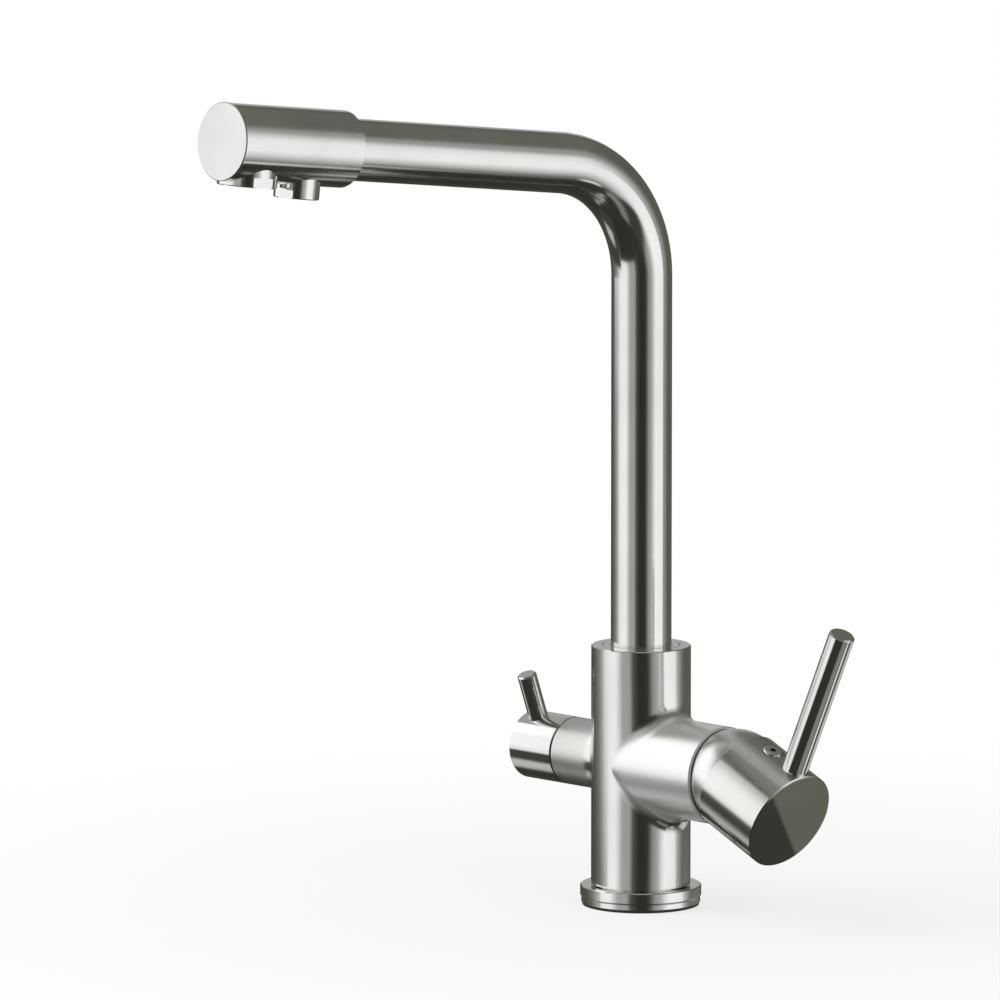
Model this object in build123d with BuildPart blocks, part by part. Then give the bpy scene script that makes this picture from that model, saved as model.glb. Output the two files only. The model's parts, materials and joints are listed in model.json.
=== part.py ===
from build123d import *
import math
import os

os.makedirs("parts", exist_ok=True)

# The tap stands on the deck at zero, with Z up. The mixing handle points along +X,
# the filter valve along -X and the front is -Y. Lengths are in millimetres, angles in degrees.

# Fits, gaps and cuts
overrun = 1.0
turn_fit = 0.08
seal_fit = 0.03
seat_fit = 0.05
face_fit = 0.1
free_gap = 0.3
edge_break = 0.4
rim_chamfer = 0.6

# Mixing cartridge across the large branch
cartridge_radius = 17.5
cartridge_wall = 1.7
cartridge_bore = cartridge_radius - cartridge_wall
nut_step = 1.1
nut_radius = cartridge_radius + nut_step
disc_step = 1.3
fixed_disc_radius = cartridge_bore - disc_step
moving_disc_radius = 11.0
disc_pocket_radius = 6.0
disc_pocket_depth = 1.6
inlet_port_radius = 2.5
inlet_port_spread = 6.5
inlet_port_rise = 7.0
mixed_port_radius = 3.0
mixed_port_drop = 8.2
turret_radius = 10.92
turret_flange_step = 4.58
turret_flange_radius = turret_radius + turret_flange_step
turret_flange = 2.3
neck_wall = 2.5
neck_radius = turret_radius + turn_fit + neck_wall

# Branches of the cast body and its column
branch_wall = 4.1
mixer_branch_radius = nut_radius + branch_wall
mixer_branch_blend = 8.0
valve_head_radius = 11.0
filter_branch_wall = 4.75
filter_branch_radius = valve_head_radius + filter_branch_wall
filter_branch_end = 43.9
filter_branch_blend = 1.5
column_step = 0.3
column_radius = mixer_branch_radius + column_step
column_foot_step = 3.0
column_foot_radius = column_radius - column_foot_step
column_foot_gap = 0.6
branch_height = 66.2
column_rise = 54.8
column_top = branch_height + column_rise

# Flange, base ring and deck seal
flange_step = 5.0
flange_radius = column_radius + flange_step
flange_height = 5.2
base_ring_step = 0.5
base_ring_radius = flange_radius - base_ring_step
base_ring_height = 3.1
gasket_step = 0.5
gasket_radius = base_ring_radius - gasket_step
gasket_thickness = 1.0
gasket_hole_radius = 17.0

# Spout: a bent tube that turns in the column, with its arm rising to the head
spout_heading = -94.0
tube_radius = 14.0
tube_wall = 1.5
bend_radius = 56.0
arm_rise = 6.89
arm_crossing = 342.0
bush_wall = 4.0
bush_radius = tube_radius + bush_wall
bush_length = 19.7
collar_step = 2.0
collar_radius = tube_radius + collar_step
collar_thickness = 2.0
foot_length = 13.0
foot_wall = 5.0
foot_spigot_length = 10.0
foot_web = 2.0
foot_room = 2.0
seal_section = 0.95
seal_groove_height = 2.2
seal_spacing = 5.0

# Filtered water's own tube inside the spout
inner_tube_radius = 4.0
inner_tube_wall = 1.0
inner_tube_stand = 4.3
inner_tube_bend = 8.0

# Spout head and its two outlets, set square to the arm
head_step = 3.4
head_radius = tube_radius + head_step
head_wall = 2.4
head_start = 178.1
head_socket_depth = 11.4
cap_step = 0.2
cap_radius = head_radius + cap_step
cap_thickness = 0.7
cap_spigot = 0.6
outlet_top_wall = 2.0
outlet_lip = 1.2
outlet_lip_width = 0.8
cell_pitch = 3.0
cell_radius = 1.3
insert_height = 5.0
washer_thickness = 1.0
filter_outlet_radius = 10.3
filter_outlet_gap = 2.2
filter_outlet_place = head_start + head_socket_depth + filter_outlet_gap + filter_outlet_radius
filter_outlet_wall = 2.0
filter_outlet_stand = 5.9
filter_outlet_drop = head_radius + filter_outlet_stand
filter_outlet_rise = 9.5
filter_flat_depth = 0.8
filter_flats = 2 * (filter_outlet_radius - filter_flat_depth)
filter_flats_height = 3.7
filter_flats_turn = 19.0
filter_cell_rings = 2
main_outlet_radius = 13.5
main_outlet_gap = 5.0
main_outlet_place = filter_outlet_place + filter_outlet_radius + main_outlet_gap + main_outlet_radius
main_outlet_wall = 2.1
main_outlet_stand = 1.85
main_outlet_drop = head_radius + main_outlet_stand
main_outlet_rise = 6.0
main_flat_depth = 1.0
main_flats = 2 * (main_outlet_radius - main_flat_depth)
main_flats_height = 4.5
main_flats_turn = 86.0
main_cell_rings = 3
main_outlet_back = 15.7
head_end = main_outlet_place + main_outlet_back

# Mixing cartridge along the large branch
cartridge_floor = 34.0
cartridge_depth = 15.5
cartridge_shoulder = cartridge_floor + cartridge_depth
cartridge_front_wall = 2.0
nut_sink = 4.5
mixer_branch_end = cartridge_shoulder + nut_sink
nut_stand = 2.4
nut_end = mixer_branch_end + nut_stand
neck_length = 10.0
neck_end = cartridge_shoulder + neck_length
pivot_stand = 2.4
pivot_place = neck_end + pivot_stand
turret_stand = 3.6
turret_end = pivot_place + turret_stand
port_seal_thickness = 0.8
cartridge_base_thickness = 2.2
disc_thickness = 3.0
carrier_plate = 1.6
carrier_post_width = 8.0
carrier_post_wall = 1.8
turret_slot_width = 8.6
turret_slot_height = 17.6
pin_radius = 2.0
pin_length = 18.0
stem_width = turret_slot_width - 2 * free_gap
stem_hub_radius = 4.5
tail_length = 9.0
tail_radius = 1.2
ball_radius = 2.5
nut_notch_width = 3.0
nut_notch_depth = 2.2
nut_notch_count = 4

# Dome and mixing handle, both shaped as balls about the pivot where they pass each other
dome_step = 0.1
dome_radius = mixer_branch_radius - dome_step
dome_wall = 1.2
dome_half_angle = 53.5
dome_ring_width = 2.6
handle_tilt = 24.5
handle_cavity_radius = dome_radius + free_gap
barrel_lip = 1.0
barrel_radius = handle_cavity_radius + barrel_lip
barrel_start = 2.8
barrel_length = 35.4
barrel_end = barrel_start + barrel_length
boss_radius = 7.0
boss_start = 10.0
stem_end = 23.0
stem_room = 0.2
socket_end = stem_end + stem_room
lever_radius = 6.0
lever_inset = 7.3
lever_place = barrel_end - lever_inset
lever_length = 71.6
lever_chamfer = 0.7
lever_tip = barrel_radius + lever_length
lever_depth = 8.0
button_place = 15.2
button_radius = 4.7
button_gap = 0.4
button_round = 1.2
button_depth = 2.9
button_stand = 0.5
key_radius = 1.4
screw_radius = 2.5
screw_length = 8.0

# Filter valve in the small branch
valve_floor = 22.0
valve_head_wall = 2.4
valve_chamber = 8.0
valve_chamber_end = valve_floor + valve_chamber
valve_nose_radius = 8.0
valve_nose_length = 6.1
valve_nose_end = filter_branch_end + valve_nose_length
valve_disc_radius = 8.5
valve_disc_thickness = 2.5
valve_port_radius = 2.0
valve_port_spread = 5.5
spindle_radius = 3.5
spindle_flange_radius = 6.0
spindle_length = 15.0
spindle_end = valve_nose_end + spindle_length
small_barrel_radius = filter_branch_radius
small_barrel_gap = 0.5
small_barrel_start = filter_branch_end + small_barrel_gap
small_barrel_length = 27.2
small_barrel_end = small_barrel_start + small_barrel_length
small_barrel_wall = 2.15
small_cavity_radius = small_barrel_radius - small_barrel_wall
small_cavity_room = 4.0
small_cavity_end = valve_nose_end + small_cavity_room
small_lever_radius = 4.5
small_lever_inset = 8.9
small_lever_place = small_barrel_end - small_lever_inset
small_lever_length = 21.75
small_lever_tip = small_barrel_radius + small_lever_length
small_lever_depth = 6.75
small_lever_turn = 20.0
small_screw_radius = 2.0
small_screw_back = 5.2
small_screw_place = small_lever_place - small_screw_back

# Waterways in the cast body
inlet_way_radius = 3.0
filter_way_radius = 3.0
mixed_way_place = 9.5
inlet_across = 7.5
inlet_front = 8.0
inlet_bore_radius = 4.55
inlet_socket_wall = 0.95
inlet_socket_radius = inlet_bore_radius + inlet_socket_wall
inlet_bore_length = 12.0
inlet_ring_drop = 2.0
inlet_drop = inlet_ring_drop + inlet_bore_length
inlet_seat = 6.0

# Fixing under the deck, drawn up for a worktop of this thickness
deck_thickness = 20.0
stud_radius = 4.0
stud_across = 8.2
stud_back = 8.7
stud_engagement = 12.0
horseshoe_radius = 25.0
horseshoe_slot = 34.0
horseshoe_slot_end = 6.2
horseshoe_corner = 5.0
rubber_thickness = 2.0
steel_thickness = 2.5
long_nut_width = 13.0
long_nut_length = 20.0
stud_stand = 15.5

# Levels of the column
foot_level = gasket_thickness
base_ring_top = foot_level + base_ring_height
flange_top = base_ring_top + flange_height
column_bottom = flange_top + column_foot_gap
bush_seat = column_top - bush_length
collar_bottom = bush_seat - free_gap - collar_thickness
collar_floor = collar_bottom - free_gap
tube_bottom = collar_bottom + collar_thickness
foot_bottom = collar_bottom - foot_length
mixed_floor = foot_bottom - foot_room
inner_tube_bottom = branch_height + inner_tube_stand
tube_seal_level = (mixed_floor + branch_height) / 2

# Spout plane, in which the bend is drawn: across is outward along the spout, up is Z
heading = Vector(1, 0, 0).rotate(Axis.Z, spout_heading)
spout_plane = Plane(origin=(0, 0, 0), x_dir=heading, z_dir=heading.cross(Vector(0, 0, 1)))
rise_cos = math.cos(math.radians(arm_rise))
rise_sin = math.sin(math.radians(arm_rise))
bend_level = arm_crossing + bend_radius * (1 - rise_sin) * rise_sin / rise_cos - bend_radius * rise_cos
bend_end = (bend_radius * (1 - rise_sin), bend_level + bend_radius * rise_cos)


def arm_point(distance, drop=0):
    return (distance * rise_cos + drop * rise_sin, arm_crossing + distance * rise_sin - drop * rise_cos)


def in_space(point):
    return spout_plane.from_local_coords((point[0], point[1], 0))


arm_direction = in_space(arm_point(head_end)) - in_space(arm_point(head_start))
drop_direction = in_space(arm_point(0, head_radius)) - in_space(arm_point(0))


def arm_section(distance):
    return Plane(origin=in_space(arm_point(distance)), x_dir=spout_plane.z_dir, z_dir=arm_direction)


def outlet_section(distance, drop):
    return Plane(origin=in_space(arm_point(distance, drop)), x_dir=arm_direction, z_dir=drop_direction)


# Mixing handle plane: its normal is the barrel's axis and its up is the lever's direction
pivot = Vector(pivot_place, 0, branch_height)
tilt = math.radians(handle_tilt)
handle_plane = Plane(origin=pivot, x_dir=(0, 1, 0), z_dir=(math.cos(tilt), 0, -math.sin(tilt)))
disc_travel = tail_length * math.sin(tilt)
ball_back = tail_length * math.cos(tilt)


def lever_section(along, out):
    seat = handle_plane.from_local_coords((0, out, along))
    return Plane(origin=seat, x_dir=(0, 1, 0), z_dir=handle_plane.y_dir)


small_turn = math.radians(small_lever_turn)
small_lever_direction = Vector(0, -math.sin(small_turn), math.cos(small_turn))


def small_lever_section(along, out):
    seat = Vector(-along, 0, branch_height) + small_lever_direction * out
    return Plane(origin=seat, x_dir=(1, 0, 0), z_dir=small_lever_direction)


def branch_section(along):
    return Plane(origin=(along, 0, branch_height), x_dir=(0, 1, 0), z_dir=(1, 0, 0))


def pin_section(across):
    return Plane(origin=pivot + Vector(0, across, 0), x_dir=(0, 0, 1), z_dir=(0, 1, 0))


def round_bar(plane, radius, length, mode=Mode.ADD):
    with BuildSketch(plane) as outline:
        Circle(radius)
    extrude(outline.sketch, amount=length, mode=mode)


def blind_bore(plane, radius, depth):
    lead = math.copysign(overrun, depth)
    round_bar(plane.offset(depth + lead), radius, -depth - lead, mode=Mode.SUBTRACT)


def through_bore(plane, radius, depth):
    lead = math.copysign(overrun, depth)
    round_bar(plane.offset(-lead), radius, depth + 2 * lead, mode=Mode.SUBTRACT)


def upright_bores(places, radius, bottom, top):
    with BuildSketch(Plane.XY.offset(bottom)) as bores:
        with Locations(*places):
            Circle(radius)
    extrude(bores.sketch, amount=top - bottom, mode=Mode.SUBTRACT)


# Stack of the cartridge along the branch
base_start = cartridge_floor + port_seal_thickness
fixed_disc_start = base_start + cartridge_base_thickness
moving_disc_start = fixed_disc_start + disc_thickness + face_fit
carrier_start = moving_disc_start + disc_thickness
turret_start = carrier_start + carrier_plate + free_gap
housing_wall_start = cartridge_shoulder - cartridge_front_wall
ball_place = pivot_place - ball_back
slot_half = ball_radius + free_gap
carrier_post_end = ball_place + slot_half / 2

# Places of the pieces under the body
hot_place = (inlet_across, inlet_front)
cold_place = (inlet_across, -inlet_front)
filter_place = (-inlet_across, -inlet_front)
stud_place = (-stud_across, stud_back)
rubber_level = -deck_thickness - rubber_thickness
steel_level = rubber_level - steel_thickness
stud_bottom = steel_level - long_nut_length - stud_stand
hot_port = (inlet_port_spread, inlet_port_rise)
cold_port = (-inlet_port_spread, inlet_port_rise)
mixed_port = (0, -mixed_port_drop)

# Gasket under the base ring
with BuildPart() as deck_gasket:
    with BuildSketch(Plane.XY):
        Circle(gasket_radius)
        Circle(gasket_hole_radius, mode=Mode.SUBTRACT)
    extrude(amount=gasket_thickness)
deck_gasket.part.label = "deck_gasket"
export_step(deck_gasket.part, "parts/deck_gasket.step")

# Base ring, with a chamfer that makes the dark line under the flange
with BuildPart() as base_ring:
    with BuildSketch(Plane.XY.offset(foot_level)):
        Circle(base_ring_radius)
        Circle(column_foot_radius + seat_fit, mode=Mode.SUBTRACT)
    extrude(amount=base_ring_height)
    rims = base_ring.edges().filter_by(GeomType.CIRCLE).group_by(SortBy.RADIUS)[-1]
    chamfer(rims, length=edge_break)
base_ring.part.label = "base_ring"
export_step(base_ring.part, "parts/base_ring.step")

# Flange
with BuildPart() as base_flange:
    with BuildSketch(Plane.XY.offset(base_ring_top)):
        Circle(flange_radius)
        Circle(column_foot_radius + seat_fit, mode=Mode.SUBTRACT)
    extrude(amount=flange_height)
    rims = base_flange.edges().filter_by(GeomType.CIRCLE).group_by(SortBy.RADIUS)[-1]
    chamfer(rims, length=edge_break)
base_flange.part.label = "base_flange"
export_step(base_flange.part, "parts/base_flange.step")

# Cast body: column, two branches with blended seams, and all its bores
with BuildPart() as body_casting:
    round_bar(Plane.XY.offset(column_bottom), column_radius, column_top - column_bottom)
    round_bar(branch_section(0), mixer_branch_radius, mixer_branch_end)
    round_bar(branch_section(0), filter_branch_radius, -filter_branch_end)
    seams = body_casting.edges().filter_by(GeomType.BSPLINE)
    fillet(seams.filter_by(lambda seam: seam.center().X > 0), radius=mixer_branch_blend)
    seams = body_casting.edges().filter_by(GeomType.BSPLINE).group_by(Axis.X)[0]
    fillet(seams, radius=filter_branch_blend)
    ends = body_casting.faces().filter_by(GeomType.PLANE)
    chamfer(ends.sort_by(Axis.X)[-1].edges(), length=rim_chamfer)
    chamfer(ends.sort_by(Axis.X)[0].edges(), length=edge_break)
    chamfer(ends.sort_by(Axis.Z)[-1].edges(), length=edge_break)
    round_bar(Plane.XY.offset(foot_level), column_foot_radius, column_bottom - foot_level)

    # Cartridge chamber and nut thread
    chamber_depth = mixer_branch_end - cartridge_floor
    thread_depth = mixer_branch_end - cartridge_shoulder
    blind_bore(branch_section(cartridge_floor), cartridge_radius + seat_fit, chamber_depth)
    blind_bore(branch_section(cartridge_shoulder), nut_radius + seat_fit, thread_depth)

    # Spout's bush, collar and seal bores
    blind_bore(Plane.XY.offset(collar_floor), bush_radius + seat_fit, column_top - collar_floor)
    blind_bore(Plane.XY.offset(mixed_floor), tube_radius + turn_fit, collar_floor - mixed_floor)
    blind_bore(Plane.XY.offset(branch_height), inner_tube_radius + turn_fit, mixed_floor - branch_height)
    seal_bottom = tube_seal_level - seal_groove_height / 2
    seal_bore_radius = inner_tube_radius + 2 * seal_section + seat_fit
    upright_bores([(0, 0)], seal_bore_radius, seal_bottom, seal_bottom + seal_groove_height)

    # Filter valve bore and the way to the inner tube
    blind_bore(branch_section(-valve_floor), valve_head_radius + seat_fit, valve_floor - filter_branch_end)
    blind_bore(branch_section(0), filter_way_radius, -valve_floor)

    # Mixed water way
    with BuildSketch(branch_section(mixed_way_place)):
        with Locations(mixed_port):
            Circle(mixed_port_radius)
    extrude(amount=cartridge_floor - mixed_way_place + overrun, mode=Mode.SUBTRACT)
    mixed_level = branch_height - mixed_port_drop
    upright_bores([(mixed_way_place, 0)], mixed_port_radius, mixed_level, mixed_floor + overrun)

    # Hot and cold ways from below to the cartridge
    way_bottom = foot_level - overrun
    for place, port in ((hot_place, hot_port), (cold_place, cold_port)):
        upright_bores([place], inlet_way_radius, way_bottom, branch_height + inlet_port_rise)
        with BuildSketch(branch_section(place[0])):
            with Locations(port):
                Circle(inlet_port_radius)
        extrude(amount=cartridge_floor - place[0] + overrun, mode=Mode.SUBTRACT)

    # Filtered way from below to the filter valve
    upright_bores([filter_place], inlet_way_radius, way_bottom, branch_height)
    with BuildSketch(branch_section(filter_place[0])):
        with Locations((-valve_port_spread, 0)):
            Circle(valve_port_radius)
    extrude(amount=-(valve_floor + filter_place[0] + overrun), mode=Mode.SUBTRACT)

    # Seats of the inlet nipples and the stud
    inlet_places = [hot_place, cold_place, filter_place]
    upright_bores(inlet_places, inlet_socket_radius + seat_fit, way_bottom, foot_level + inlet_seat)
    upright_bores([stud_place], stud_radius + seat_fit, way_bottom, foot_level + stud_engagement)
body_casting.part.label = "body_casting"
export_step(body_casting.part, "parts/body_casting.step")

# Inlets, each a socket with a straight threaded bore under a nipple that is seated in the body
for name, place in (("hot", hot_place), ("cold", cold_place), ("filter", filter_place)):
    for kind, bottom, top, bore in (
        ("_inlet", -inlet_drop, -inlet_ring_drop, inlet_bore_radius),
        ("_nipple", -inlet_ring_drop, foot_level + inlet_seat, inlet_way_radius),
    ):
        with BuildPart() as inlet_piece:
            with BuildSketch(Plane.XY.offset(bottom)):
                with Locations(place):
                    Circle(inlet_socket_radius)
                    Circle(bore, mode=Mode.SUBTRACT)
            extrude(amount=top - bottom)
        inlet_piece.part.label = name + kind
        export_step(inlet_piece.part, "parts/" + name + kind + ".step")

# Fixing stud
with BuildPart() as fixing_stud:
    with BuildSketch(Plane.XY.offset(stud_bottom)):
        with Locations(stud_place):
            Circle(stud_radius)
    extrude(amount=foot_level + stud_engagement - stud_bottom)
    stud_ends = fixing_stud.edges().filter_by(GeomType.CIRCLE)
    chamfer(stud_ends, length=edge_break)
fixing_stud.part.label = "fixing_stud"
export_step(fixing_stud.part, "parts/fixing_stud.step")

# Horseshoes that pull against the underside of the worktop
horseshoe_heading = Vector(-stud_place[0], -stud_place[1], 0)
stud_reach = math.hypot(stud_across, stud_back)
for name, level, thickness in (
    ("rubber_horseshoe", rubber_level, rubber_thickness),
    ("steel_horseshoe", steel_level, steel_thickness),
):
    with BuildPart() as horseshoe:
        horseshoe_plane = Plane(origin=(0, 0, level), x_dir=horseshoe_heading, z_dir=(0, 0, 1))
        with BuildSketch(horseshoe_plane):
            Circle(horseshoe_radius)
            with Locations((horseshoe_radius - horseshoe_slot_end, 0)):
                RectangleRounded(2 * horseshoe_radius, horseshoe_slot, horseshoe_corner, mode=Mode.SUBTRACT)
            with Locations((-stud_reach, 0)):
                Circle(stud_radius + free_gap, mode=Mode.SUBTRACT)
        extrude(amount=thickness)
    horseshoe.part.label = name
    export_step(horseshoe.part, "parts/" + name + ".step")

# Long nut on the stud
with BuildPart() as long_nut:
    with BuildSketch(Plane.XY.offset(steel_level - long_nut_length)):
        with Locations(stud_place):
            RegularPolygon(long_nut_width / 2, 6, major_radius=False)
            Circle(stud_radius + seat_fit, mode=Mode.SUBTRACT)
    extrude(amount=long_nut_length)
long_nut.part.label = "long_nut"
export_step(long_nut.part, "parts/long_nut.step")

# Bush that closes the column around the spout
with BuildPart() as swivel_bush:
    with BuildSketch(Plane.XY.offset(bush_seat)):
        Circle(bush_radius)
        Circle(tube_radius + turn_fit, mode=Mode.SUBTRACT)
    extrude(amount=bush_length)
    rims = swivel_bush.faces().sort_by(Axis.Z)[-1].edges()
    chamfer(rims, length=edge_break)
swivel_bush.part.label = "swivel_bush"
export_step(swivel_bush.part, "parts/swivel_bush.step")

# Seal around the inner tube, held in the body
with BuildPart() as inner_tube_seal:
    with Locations((0, 0, tube_seal_level)):
        Torus(inner_tube_radius + seal_fit + seal_section, seal_section)
inner_tube_seal.part.label = "inner_tube_seal"
export_step(inner_tube_seal.part, "parts/inner_tube_seal.step")

# Spout tube, swept along a straight, the bend and the rising arm
with BuildPart() as spout_tube:
    with BuildLine(spout_plane):
        Line((0, tube_bottom), (0, bend_level))
        CenterArc((bend_radius, bend_level), bend_radius, 180, arm_rise - 90)
        Line(bend_end, arm_point(head_start + head_socket_depth))
    with BuildSketch(Plane.XY.offset(tube_bottom)):
        Circle(tube_radius)
        Circle(tube_radius - tube_wall, mode=Mode.SUBTRACT)
    sweep()
spout_tube.part.label = "spout_tube"
export_step(spout_tube.part, "parts/spout_tube.step")

# Machined foot of the spout: seal grooves, a collar and webs that hold the inner tube
foot_bore = tube_radius - foot_wall
groove_radius = tube_radius - seal_fit - 2 * seal_section
seal_levels = [foot_bottom + seal_spacing * step for step in (1, 2)]
with BuildPart() as spout_foot:
    round_bar(Plane.XY.offset(foot_bottom), tube_radius, foot_length)
    round_bar(Plane.XY.offset(collar_bottom), collar_radius, collar_thickness)
    round_bar(Plane.XY.offset(tube_bottom), tube_radius - tube_wall - seat_fit, foot_spigot_length)
    through_bore(Plane.XY.offset(foot_bottom), foot_bore, foot_length + collar_thickness + foot_spigot_length)
    for level in seal_levels:
        with BuildSketch(Plane.XY.offset(level - seal_groove_height / 2)):
            Circle(tube_radius + overrun)
            Circle(groove_radius - seat_fit, mode=Mode.SUBTRACT)
        extrude(amount=seal_groove_height, mode=Mode.SUBTRACT)
    with BuildSketch(Plane.XY.offset(foot_bottom)):
        for angle in (0, 60, 120):
            Rectangle(2 * foot_bore + foot_web, foot_web, rotation=angle)
        Circle(inner_tube_radius + seat_fit, mode=Mode.SUBTRACT)
    extrude(amount=foot_web)
spout_foot.part.label = "spout_foot"
export_step(spout_foot.part, "parts/spout_foot.step")

# Two seal rings on the foot
for count, level in enumerate(seal_levels):
    with BuildPart() as spout_seal:
        with Locations((0, 0, level)):
            Torus(groove_radius + seal_section, seal_section)
    spout_seal.part.label = "spout_seal_" + str(count + 1)
    export_step(spout_seal.part, "parts/spout_seal_" + str(count + 1) + ".step")

# Inner tube for filtered water, up through the bend and down into its own outlet
inner_turn = filter_outlet_place - inner_tube_bend
with BuildPart() as inner_water_tube:
    with BuildLine(spout_plane):
        Line((0, inner_tube_bottom), (0, bend_level))
        CenterArc((bend_radius, bend_level), bend_radius, 180, arm_rise - 90)
        Line(bend_end, arm_point(inner_turn))
        CenterArc(arm_point(inner_turn, inner_tube_bend), inner_tube_bend, 90 + arm_rise, -90)
        Line(
            arm_point(filter_outlet_place, inner_tube_bend),
            arm_point(filter_outlet_place, filter_outlet_rise + outlet_top_wall / 2),
        )
    with BuildSketch(Plane.XY.offset(inner_tube_bottom)):
        Circle(inner_tube_radius)
        Circle(inner_tube_radius - inner_tube_wall, mode=Mode.SUBTRACT)
    sweep()
inner_water_tube.part.label = "inner_water_tube"
export_step(inner_water_tube.part, "parts/inner_water_tube.step")

# Spout head, a thin shell with two round holes underneath
head_bore = head_radius - head_wall
with BuildPart() as spout_head:
    round_bar(arm_section(head_start), head_radius, head_end - head_start)
    head_ends = spout_head.faces().filter_by(GeomType.PLANE)
    chamfer(head_ends.sort_by(Axis.Y)[-1].edges(), length=rim_chamfer)
    chamfer(head_ends.sort_by(Axis.Y)[0].edges(), length=edge_break / 2)
    through_bore(arm_section(head_start), head_bore, head_end - head_start)
    blind_bore(arm_section(head_start + head_socket_depth), tube_radius + seat_fit, -head_socket_depth)
    for place, radius in (
        (main_outlet_place, main_outlet_radius),
        (filter_outlet_place, filter_outlet_radius),
    ):
        blind_bore(outlet_section(place, 0), radius + face_fit, head_radius)
spout_head.part.label = "spout_head"
export_step(spout_head.part, "parts/spout_head.step")

# End cap
with BuildPart() as end_cap:
    round_bar(arm_section(head_end), cap_radius, cap_thickness)
    chamfer(end_cap.faces().filter_by(GeomType.PLANE).sort_by(Axis.Y)[0].edges(), length=edge_break)
    round_bar(arm_section(head_end), head_bore - seat_fit, -cap_spigot)
end_cap.part.label = "end_cap"
export_step(end_cap.part, "parts/end_cap.step")


def outlet_housing(place, radius, wall, rise, drop, flats, flats_height, flats_turn):
    round_bar(outlet_section(place, rise), radius, drop - rise)
    chamfer(edges().filter_by(GeomType.CIRCLE).sort_by(Axis.Z)[0], length=edge_break)
    blind_bore(outlet_section(place, drop - outlet_lip), radius - wall, rise + outlet_lip - drop)
    through_bore(outlet_section(place, rise), radius - wall - outlet_lip_width, drop - rise)
    with BuildSketch(outlet_section(place, drop - flats_height)) as flat_cuts:
        Circle(2 * radius)
        Rectangle(flats, 4 * radius, rotation=-flats_turn, mode=Mode.SUBTRACT)
    extrude(flat_cuts.sketch, amount=flats_height + overrun, mode=Mode.SUBTRACT)


def outlet_insert(place, radius, drop, rings):
    round_bar(outlet_section(place, drop - outlet_lip - insert_height), radius, insert_height)
    with BuildSketch(outlet_section(place, drop - outlet_lip - insert_height)) as cells:
        RegularPolygon(cell_radius, 6)
        for ring in range(1, rings + 1):
            with PolarLocations(ring * cell_pitch, 6 * ring):
                RegularPolygon(cell_radius, 6)
    extrude(cells.sketch, amount=insert_height, mode=Mode.SUBTRACT)


def outlet_washer(place, radius, drop):
    with BuildSketch(outlet_section(place, drop - outlet_lip - insert_height - washer_thickness)) as ring:
        Circle(radius)
        Circle(radius - 2 * outlet_lip_width, mode=Mode.SUBTRACT)
    extrude(ring.sketch, amount=washer_thickness)


# Main outlet: housing with wrench flats, washer and aerator insert
with BuildPart() as main_outlet:
    outlet_housing(
        main_outlet_place, main_outlet_radius, main_outlet_wall, main_outlet_rise,
        main_outlet_drop, main_flats, main_flats_height, main_flats_turn,
    )
main_outlet.part.label = "main_outlet"
export_step(main_outlet.part, "parts/main_outlet.step")

main_insert_radius = main_outlet_radius - main_outlet_wall - seat_fit
with BuildPart() as aerator_insert:
    outlet_insert(main_outlet_place, main_insert_radius, main_outlet_drop, main_cell_rings)
aerator_insert.part.label = "aerator_insert"
export_step(aerator_insert.part, "parts/aerator_insert.step")

with BuildPart() as aerator_washer:
    outlet_washer(main_outlet_place, main_insert_radius, main_outlet_drop)
aerator_washer.part.label = "aerator_washer"
export_step(aerator_washer.part, "parts/aerator_washer.step")

# Filtered outlet: closed above, with a seat for the inner tube
with BuildPart() as filter_outlet:
    outlet_housing(
        filter_outlet_place, filter_outlet_radius, filter_outlet_wall, filter_outlet_rise,
        filter_outlet_drop, filter_flats, filter_flats_height, filter_flats_turn,
    )
    with BuildSketch(outlet_section(filter_outlet_place, filter_outlet_rise)):
        Circle(filter_outlet_radius - filter_outlet_wall / 2)
        Circle(inner_tube_radius + seat_fit, mode=Mode.SUBTRACT)
    extrude(amount=outlet_top_wall)
filter_outlet.part.label = "filter_outlet"
export_step(filter_outlet.part, "parts/filter_outlet.step")

filter_insert_radius = filter_outlet_radius - filter_outlet_wall - seat_fit
with BuildPart() as laminar_insert:
    outlet_insert(filter_outlet_place, filter_insert_radius, filter_outlet_drop, filter_cell_rings)
laminar_insert.part.label = "laminar_insert"
export_step(laminar_insert.part, "parts/laminar_insert.step")

with BuildPart() as laminar_washer:
    outlet_washer(filter_outlet_place, filter_insert_radius, filter_outlet_drop)
laminar_washer.part.label = "laminar_washer"
export_step(laminar_washer.part, "parts/laminar_washer.step")


def ports():
    with Locations(hot_port, cold_port):
        Circle(inlet_port_radius, mode=Mode.SUBTRACT)
    with Locations(mixed_port):
        Circle(mixed_port_radius, mode=Mode.SUBTRACT)


# Port seal, base and fixed disc share the same three ports
for name, start, thickness, radius in (
    ("port_seal", cartridge_floor, port_seal_thickness, cartridge_bore - seat_fit),
    ("cartridge_base", base_start, cartridge_base_thickness, cartridge_bore - seat_fit),
    ("fixed_disc", fixed_disc_start, disc_thickness, fixed_disc_radius),
):
    with BuildPart() as plate:
        with BuildSketch(branch_section(start)):
            Circle(radius)
            ports()
        extrude(amount=thickness)
    plate.part.label = name
    export_step(plate.part, "parts/" + name + ".step")

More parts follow.
